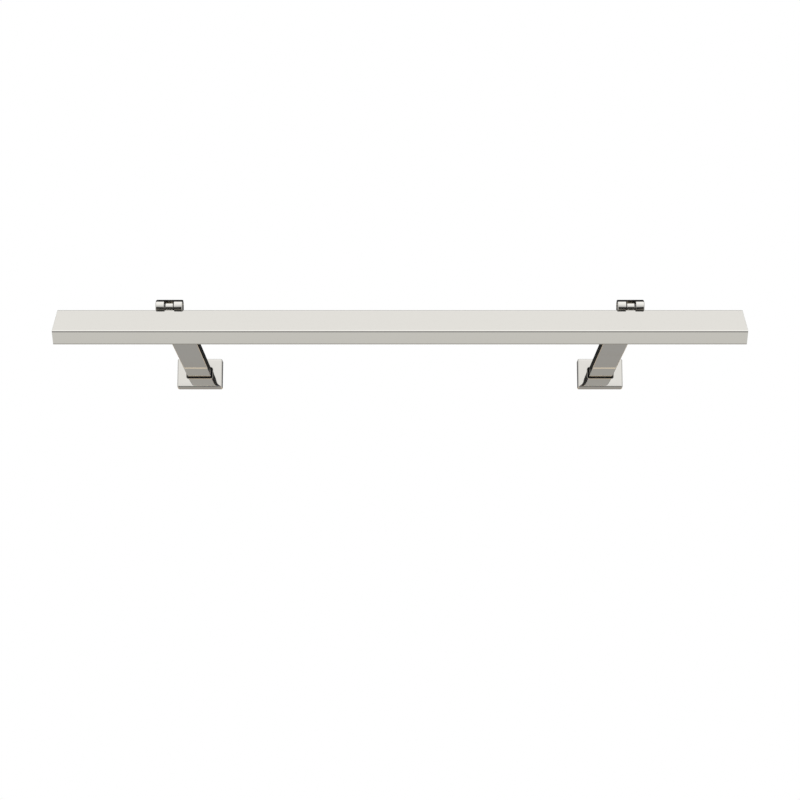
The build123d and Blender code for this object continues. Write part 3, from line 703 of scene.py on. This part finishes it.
class PICTURELIGHT_OT_head_shell(bpy.types.Operator):
    """The long polished channel, with the two windows for the pivot lugs"""

    bl_idname = "picture_light.head_shell"
    bl_label = "Head shell"

    def execute(self, context):
        head = settings().head
        shell = prism_x("head_shell", channel_outline(), -head.length / 2, head.length / 2)
        for side in SIDES:
            x = node_middle(f"clevis_{side}").x
            half = LUG_WIDTH / 2 + FIT_GAP
            low = (x - half, -head.pivot_behind - HOUSING_REAR_WALL - MM, NECK_BOTTOM - FIT_GAP)
            high = (x + half, -head.pivot_behind + MM, NECK_TOP + FIT_GAP)
            cut(shell, box_cutter(low, high))
        place_on_head(shell)
        ease_edges(shell, 0.15 * MM)
        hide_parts("head_housing")
        finish_piece(shell, material("cover nickel"), HEAD_BODY)
        return {"FINISHED"}


class PICTURELIGHT_OT_end_caps(bpy.types.Operator):
    """The flush plugs in the ends of the channel and their countersunk screws"""

    bl_idname = "picture_light.end_caps"
    bl_label = "End caps"

    def execute(self, context):
        for side in SIDES:
            cap = refined_copy(f"end_cap_{side}", f"end_plug_{side}", 0.12 * MM)
            finish_piece(cap, material("knuckle nickel"), HEAD_BODY)
        screws = refined_copy("end_cap_screws", "end_plug_screws", 0.06 * MM)
        finish_piece(screws, material("screw nickel"), HEAD_BODY)
        return {"FINISHED"}


class PICTURELIGHT_OT_pivot_lugs(bpy.types.Operator):
    """The tongues that join the head to the arms, with their bushes"""

    bl_idname = "picture_light.pivot_lugs"
    bl_label = "Pivot lugs"

    def execute(self, context):
        for side in SIDES:
            lug = refined_copy(f"pivot_lug_{side}", f"tilt_lug_{side}", 0.12 * MM)
            finish_piece(lug, material("knuckle nickel"), HEAD_BODY)
        bushes = refined_copy("lug_bushes", "tilt_bushes", 0.06 * MM)
        finish_piece(bushes, material("black acetal"), HEAD_BODY)
        return {"FINISHED"}


class PICTURELIGHT_OT_diffuser(bpy.types.Operator):
    """The opal strip in the light opening"""

    bl_idname = "picture_light.diffuser"
    bl_label = "Diffuser"

    def execute(self, context):
        strip = refined_copy("diffuser", "opal_strip", 0.25 * MM, 3)
        finish_piece(strip, material("opal acrylic"), HEAD_BODY)
        return {"FINISHED"}


# ---------------------------------------------------------------- pieces of the arms
class PICTURELIGHT_OT_arm_tubes(bpy.types.Operator):
    """The two flat rectangular tubes"""

    bl_idname = "picture_light.arm_tubes"
    bl_label = "Arm tubes"

    def execute(self, context):
        arm = settings().arm
        for side in SIDES:
            low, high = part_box(f"arm_tube_{side}")
            outside = rounded_rectangle((low.x, low.z), (high.x, high.z), arm.edge_radius, 8)
            tube = prism_y(f"arm_bar_{side}", outside, low.y, high.y)
            bore_low = (low.x + arm.wall, low.y - MM, low.z + arm.wall)
            bore_high = (high.x - arm.wall, high.y + MM, high.z - arm.wall)
            cut(tube, box_cutter(bore_low, bore_high))
            ease_edges(tube, 0.12 * MM)
            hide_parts(f"arm_tube_{side}")
            finish_piece(tube, material("arm nickel"), WALL_BODY)
        return {"FINISHED"}


class PICTURELIGHT_OT_knuckles(bpy.types.Operator):
    """The slotted front ends of the arms, with their pivot screws and spring washers"""

    bl_idname = "picture_light.knuckles"
    bl_label = "Knuckles"

    def execute(self, context):
        for side in SIDES:
            fork = refined_copy(f"clevis_{side}", f"knuckle_{side}", 0.18 * MM)
            finish_piece(fork, material("knuckle nickel"), WALL_BODY)
        screws = refined_copy("pivot_screws", "knuckle_screws", 0.08 * MM)
        finish_piece(screws, material("screw nickel"), WALL_BODY)
        return {"FINISHED"}


class PICTURELIGHT_OT_arm_roots(bpy.types.Operator):
    """The black flanges and plugs that fix the arms behind the cover plates"""

    bl_idname = "picture_light.arm_roots"
    bl_label = "Arm roots"

    def execute(self, context):
        for side in SIDES:
            root = refined_copy(f"arm_root_{side}", f"arm_foot_{side}", 0.12 * MM)
            finish_piece(root, material("black oxide"), WALL_BODY)
        return {"FINISHED"}


# ---------------------------------------------------------------- wall side
GRUB_OFFSET = 15.0 * MM
GRUB_BEHIND_WALL = 3.5 * MM
GRUB_HOLE_RADIUS = 1.55 * MM
ROOT_SCREW_OFFSETS = (16.6 * MM, 6.0 * MM)
ROOT_SCREW_RADIUS = 1.05 * MM
ROOT_SCREW_DEPTH = 2.0 * MM


def plate_outline(half_width, half_height, radius, corner_steps=6, side_steps=10):
    """A rounded rectangle about zero, with points along its sides so that a crowned face stays smooth."""
    corners = rounded_rectangle((-half_width, -half_height), (half_width, half_height), radius, corner_steps)
    outline = []
    for i, point in enumerate(corners):
        outline.append(point)
        if i % (corner_steps + 1) == corner_steps:
            after = corners[(i + 1) % len(corners)]
            for step in range(1, side_steps):
                share = step / side_steps
                outline.append(tuple(a + (b - a) * share for a, b in zip(point, after)))
    return outline


def cover_plate_skin(name, low, high, opening):
    """A cover plate: hollow back, straight sides, eased edges, a crowned face and an opening for the arm."""
    plate = settings().plate
    centre = (low + high) / 2
    outer = ((high.x - low.x) / 2, (high.z - low.z) / 2, plate.corner_radius)
    cavity = (outer[0] - plate.wall, outer[1] - plate.wall, 0.3 * MM)
    back, front, inside = high.y, low.y, low.y + plate.front_wall

    def ring(sizes, grow, y):
        """One ring: an outline grown or shrunk evenly, at one depth."""
        half_width, half_height, radius = (size + grow for size in sizes)
        outline = plate_outline(half_width, half_height, max(radius, 0.2 * MM))
        return [(centre.x + x, y, centre.z + z) for x, z in outline]

    face = front + plate.crown
    rings = [ring(opening, 0, inside)]
    lip, edge = plate.opening_edge, plate.face_radius
    for i in range(7):
        angle = math.radians(90 * i / 6)
        rings.append(ring(opening, lip * (1 - math.cos(angle)), face + lip * (1 - math.sin(angle))))
    inner_sizes = [size + lip for size in opening]
    outer_sizes = [size - edge for size in outer]
    steps = 8
    for i in range(1, steps):
        share = i / steps
        sizes = [a + (b - a) * share for a, b in zip(inner_sizes, outer_sizes)]
        rings.append(ring(sizes, 0, face - plate.crown * math.sin(math.pi * share)))
    for i in range(9):
        angle = math.radians(90 * i / 8)
        rings.append(ring(outer, edge * (math.sin(angle) - 1), face + edge * (1 - math.cos(angle))))
    rings.append(ring(outer, 0, back))
    rings.append(ring(cavity, 0, back))
    rings.append(ring(cavity, 0, inside))
    rings.append(rings[0])
    return skin_rings(name, rings, close_first=False, close_last=False)


class PICTURELIGHT_OT_cover_plates(bpy.types.Operator):
    """The polished plates on the wall, hollow behind"""

    bl_idname = "picture_light.cover_plates"
    bl_label = "Cover plates"

    def opening(self):
        """Half the width, half the height and the corner radius of the opening round an arm."""
        sizes = settings()
        gap = sizes.plate.opening_gap
        return (sizes.arm.width / 2 + gap, sizes.arm.thickness / 2 + gap, sizes.plate.opening_corner)

    def drill(self, plate, low, high):
        """Cuts the grub-screw holes in the top and the blind screw holes behind the face."""
        middle = (low + high) / 2
        for side in (-1, 1):
            x = middle.x + side * GRUB_OFFSET
            y = high.y - GRUB_BEHIND_WALL
            cut(plate, round_cutter(GRUB_HOLE_RADIUS, (x, y, middle.z), (x, y, high.z + MM)))
            for level in (-1, 1):
                x = middle.x + side * ROOT_SCREW_OFFSETS[0]
                z = middle.z + level * ROOT_SCREW_OFFSETS[1]
                inside = low.y + settings().plate.front_wall
                start, end = (x, inside + MM, z), (x, inside - ROOT_SCREW_DEPTH, z)
                cut(plate, round_cutter(ROOT_SCREW_RADIUS, start, end, 24))

    def execute(self, context):
        for side in SIDES:
            low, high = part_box(f"cover_plate_{side}")
            plate = cover_plate_skin(f"wall_plate_{side}", low, high, self.opening())
            self.drill(plate, low, high)
            ease_edges(plate, 0.12 * MM, angle=40)
            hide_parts(f"cover_plate_{side}")
            finish_piece(plate, material("plate nickel"), WALL_BODY)
        return {"FINISHED"}


class PICTURELIGHT_OT_wall_brackets(bpy.types.Operator):
    """The zinc-plated channels behind the cover plates and the grommet of the lead inlet"""

    bl_idname = "picture_light.wall_brackets"
    bl_label = "Wall brackets"

    def execute(self, context):
        for side in SIDES:
            bracket = refined_copy(f"wall_bracket_{side}", f"wall_channel_{side}", 0.2 * MM)
            finish_piece(bracket, material("zinc plate"), WALL_BODY)
        grommet = refined_copy("inlet_grommet", "lead_grommet", 0.25 * MM, 3)
        finish_piece(grommet, material("black rubber"), WALL_BODY)
        return {"FINISHED"}


# ---------------------------------------------------------------- carried-over CAD pieces
CAD_FINISHES = {
    "cover_grub_screws": "black oxide",
    "root_screws": "black oxide",
    "lug_screws": "black oxide",
    "board_screws": "zinc plate",
    "spring_washers": "spring steel",
    "heat_spreader": "mill aluminium",
    "thermal_tape": "white tape",
    "led_board": "solder mask",
    "led_chips": "phosphor",
    "board_connector": "white nylon",
    "supply_connector": "grey nylon",
    "arm_lead": "lead sleeve",
    "head_lead": "lead sleeve",
}


class PICTURELIGHT_OT_inner_pieces(bpy.types.Operator):
    """Finishes for the pieces inside, which keep their CAD shapes"""

    bl_idname = "picture_light.inner_pieces"
    bl_label = "Inner pieces"

    def execute(self, context):
        for node, finish in CAD_FINISHES.items():
            mesh = frame["nodes"][node].data
            mesh.materials.clear()
            mesh.materials.append(material(finish))
        return {"FINISHED"}


# ---------------------------------------------------------------- studio
# Directions round the X axis, in degrees: 0 towards the room, 90 up, 180 or -180 into the wall, -90 down.
# STUDIO_TONES is what the metal mirrors; DEEP_TONES is what light meets that was mirrored once already.
STUDIO_TONES = (
    (-180.0, (0.98, 0.80, 0.58)),
    (-173.0, (0.80, 0.67, 0.50)),
    (-168.5, (0.27, 0.235, 0.20)),
    (-167.2, (0.37, 0.365, 0.35)),
    (-162.0, (0.30, 0.29, 0.27)),
    (-90.0, (0.30, 0.29, 0.27)),
    (-78.0, (0.66, 0.655, 0.625)),
    (-66.0, (0.78, 0.775, 0.75)),
    (-58.0, (0.02, 0.02, 0.02)),
    (-17.0, (0.02, 0.02, 0.02)),
    (-13.0, (0.48, 0.475, 0.46)),
    (2.0, (0.70, 0.70, 0.69)),
    (13.0, (0.93, 0.925, 0.905)),
    (60.0, (1.20, 1.20, 1.18)),
    (100.0, (0.98, 0.975, 0.955)),
    (105.5, (0.93, 0.925, 0.905)),
    (109.0, (0.02, 0.02, 0.02)),
    (176.0, (0.02, 0.02, 0.02)),
)
DEEP_TONES = (
    (-180.0, (0.37, 0.365, 0.35)),
    (-150.0, (0.37, 0.365, 0.35)),
    (-125.0, (1.00, 0.88, 0.70)),
    (-35.0, (1.00, 0.88, 0.70)),
    (-22.0, (0.48, 0.475, 0.46)),
    (-6.0, (0.48, 0.475, 0.46)),
    (4.0, (0.03, 0.03, 0.03)),
    (176.0, (0.03, 0.03, 0.03)),
)
SIDE_TONE = (0.62, 0.615, 0.60)
SIDE_START = 0.25
SIDE_END = 0.80
# The world's ray depth is 2 for light mirrored once, so more than this is light mirrored twice or more.
MIRRORED_ONCE_DEPTH = 2.5


def tone_ramp(tree, share, tones):
    """A colour ramp round the X axis."""
    ramp = tree.nodes.new("ShaderNodeValToRGB")
    stops = ramp.color_ramp.elements
    for index, (angle, tone) in enumerate(tones):
        position = angle / 360 + 0.5
        stop = stops[index] if index < 2 else stops.new(position)
        stop.position = position
        stop.color = (*tone, 1)
    tree.links.new(share, ramp.inputs["Fac"])
    return ramp.outputs["Color"]


def make_world():
    """A studio of soft panels and dark flags, told by direction; the camera sees plain white."""
    world = bpy.data.worlds.new("studio")
    world.use_nodes = True
    tree = world.node_tree
    tree.nodes.clear()
    direction = tree.nodes.new("ShaderNodeSeparateXYZ")
    tree.links.new(tree.nodes.new("ShaderNodeTexCoord").outputs["Generated"], direction.inputs[0])
    x, y, z = direction.outputs
    turn = calculate(tree, "ARCTAN2", z, calculate(tree, "MULTIPLY", y, -1.0))
    share = calculate(tree, "MULTIPLY_ADD", turn, 1 / (2 * math.pi), 0.5)
    seen = tree.nodes.new("ShaderNodeLightPath")
    mirrored_twice = calculate(tree, "GREATER_THAN", seen.outputs["Ray Depth"], MIRRORED_ONCE_DEPTH)
    around = mix_colour(
        tree, mirrored_twice, tone_ramp(tree, share, STUDIO_TONES), tone_ramp(tree, share, DEEP_TONES))
    sideways = remap(tree, calculate(tree, "ABSOLUTE", x), SIDE_START, SIDE_END, 0.0, 1.0)
    tone = mix_colour(tree, sideways, around, SIDE_TONE)
    studio_light = add_node(tree, "ShaderNodeBackground", Strength=1.0)
    tree.links.new(tone, studio_light.inputs["Color"])
    backdrop = add_node(tree, "ShaderNodeBackground", Color=(1, 1, 1, 1), Strength=1.0)
    choose = tree.nodes.new("ShaderNodeMixShader")
    tree.links.new(seen.outputs["Is Camera Ray"], choose.inputs[0])
    tree.links.new(studio_light.outputs[0], choose.inputs[1])
    tree.links.new(backdrop.outputs[0], choose.inputs[2])
    output = tree.nodes.new("ShaderNodeOutputWorld")
    tree.links.new(choose.outputs[0], output.inputs["Surface"])
    bpy.context.scene.world = world


def make_floor():
    """A round pale floor far below the light, fading out at its rim."""
    studio = settings().studio
    ring = arc((0, 0), studio.floor_radius, 0, 360 - 360 / 96, 95)
    floor = mesh_object(
        "floor", [(a, b, -studio.floor_drop) for a, b in ring], [tuple(range(len(ring)))])
    paint, tree, shader = new_material("pale floor", Roughness=0.6)
    place = tree.nodes.new("ShaderNodeTexCoord").outputs["Object"]
    length = tree.nodes.new("ShaderNodeVectorMath")
    length.operation = "LENGTH"
    tree.links.new(place, length.inputs[0])
    fade_start, fade_end = 0.55 * studio.floor_radius, 0.98 * studio.floor_radius
    rim = remap(tree, length.outputs["Value"], fade_start, fade_end, 1.0, 0.0)
    tree.links.new(rim, shader.inputs["Alpha"])
    speckle = remap(tree, noise(tree, place, 180.0, 4.0), 0.3, 0.7, 0.0, 1.0)
    colour = mix_colour(tree, speckle, (0.80, 0.795, 0.78), (0.84, 0.835, 0.82))
    tree.links.new(colour, shader.inputs["Base Color"])
    floor.data.materials.append(paint)
    floor.visible_glossy = False


def make_soft_light(name, place, size, power):
    """A large soft light that lights the matt pieces and isn't mirrored in the metal."""
    data = bpy.data.lights.new(name, "AREA")
    data.shape = "SQUARE"
    data.size = size
    data.energy = power
    lamp = bpy.data.objects.new(name, data)
    bpy.context.scene.collection.objects.link(lamp)
    lamp.location = place
    lamp.rotation_euler = (-Vector(place)).to_track_quat("-Z", "Y").to_euler()
    lamp.visible_glossy = False


def make_camera():
    """The camera in the room, below the arms and looking up at the head."""
    studio = settings().studio
    data = bpy.data.cameras.new("camera")
    data.lens = studio.lens
    data.sensor_width = 36.0
    data.clip_start = 0.05
    data.clip_end = 50.0
    camera = bpy.data.objects.new("camera", data)
    bpy.context.scene.collection.objects.link(camera)
    camera.location = (0, -studio.distance, -studio.drop)
    camera.rotation_euler = (math.radians(90) + studio.pitch, 0, 0)
    bpy.context.scene.camera = camera


class PICTURELIGHT_OT_studio(bpy.types.Operator):
    """The camera, the world, the soft lights and the floor"""

    bl_idname = "picture_light.studio"
    bl_label = "Studio"

    def execute(self, context):
        context.scene.view_settings.view_transform = "Standard"
        make_camera()
        make_world()
        make_floor()
        make_soft_light("key", (-1.2, -1.6, 1.6), 1.6, 26.0)
        make_soft_light("fill", (1.5, 1.0, 1.4), 1.6, 14.0)
        return {"FINISHED"}


# ---------------------------------------------------------------- the add-on
OPERATORS = (
    PICTURELIGHT_OT_head_shell,
    PICTURELIGHT_OT_end_caps,
    PICTURELIGHT_OT_pivot_lugs,
    PICTURELIGHT_OT_diffuser,
    PICTURELIGHT_OT_arm_tubes,
    PICTURELIGHT_OT_knuckles,
    PICTURELIGHT_OT_arm_roots,
    PICTURELIGHT_OT_cover_plates,
    PICTURELIGHT_OT_wall_brackets,
    PICTURELIGHT_OT_inner_pieces,
    PICTURELIGHT_OT_studio,
)


class PICTURELIGHT_PT_panel(bpy.types.Panel):
    """The list of makers in the sidebar"""

    bl_idname = "PICTURELIGHT_PT_panel"
    bl_label = "Picture Light"
    bl_space_type = "VIEW_3D"
    bl_region_type = "UI"
    bl_category = "Picture Light"

    def draw(self, context):
        layout = self.layout
        light = context.scene.picture_light
        for group in (light.head, light.arm, light.plate, light.finish, light.studio):
            box = layout.box()
            for name in group.__annotations__:
                box.prop(group, name)
        for operator in OPERATORS:
            layout.operator(operator.bl_idname)


CLASSES = (
    HeadSettings,
    ArmSettings,
    PlateSettings,
    FinishSettings,
    StudioSettings,
    PictureLightSettings,
    *OPERATORS,
    PICTURELIGHT_PT_panel,
)


def register():
    """Registers the classes and hangs the settings on the scene."""
    for item in CLASSES:
        bpy.utils.register_class(item)
    bpy.types.Scene.picture_light = PointerProperty(type=PictureLightSettings)


def unregister():
    """Undoes register."""
    del bpy.types.Scene.picture_light
    for item in reversed(CLASSES):
        bpy.utils.unregister_class(item)


def main():
    """Makes every piece and the studio."""
    register()
    bpy.ops.picture_light.head_shell()
    bpy.ops.picture_light.end_caps()
    bpy.ops.picture_light.pivot_lugs()
    bpy.ops.picture_light.diffuser()
    bpy.ops.picture_light.arm_tubes()
    bpy.ops.picture_light.knuckles()
    bpy.ops.picture_light.arm_roots()
    bpy.ops.picture_light.cover_plates()
    bpy.ops.picture_light.wall_brackets()
    bpy.ops.picture_light.inner_pieces()
    bpy.ops.picture_light.studio()


if __name__ == "__main__":
    main()
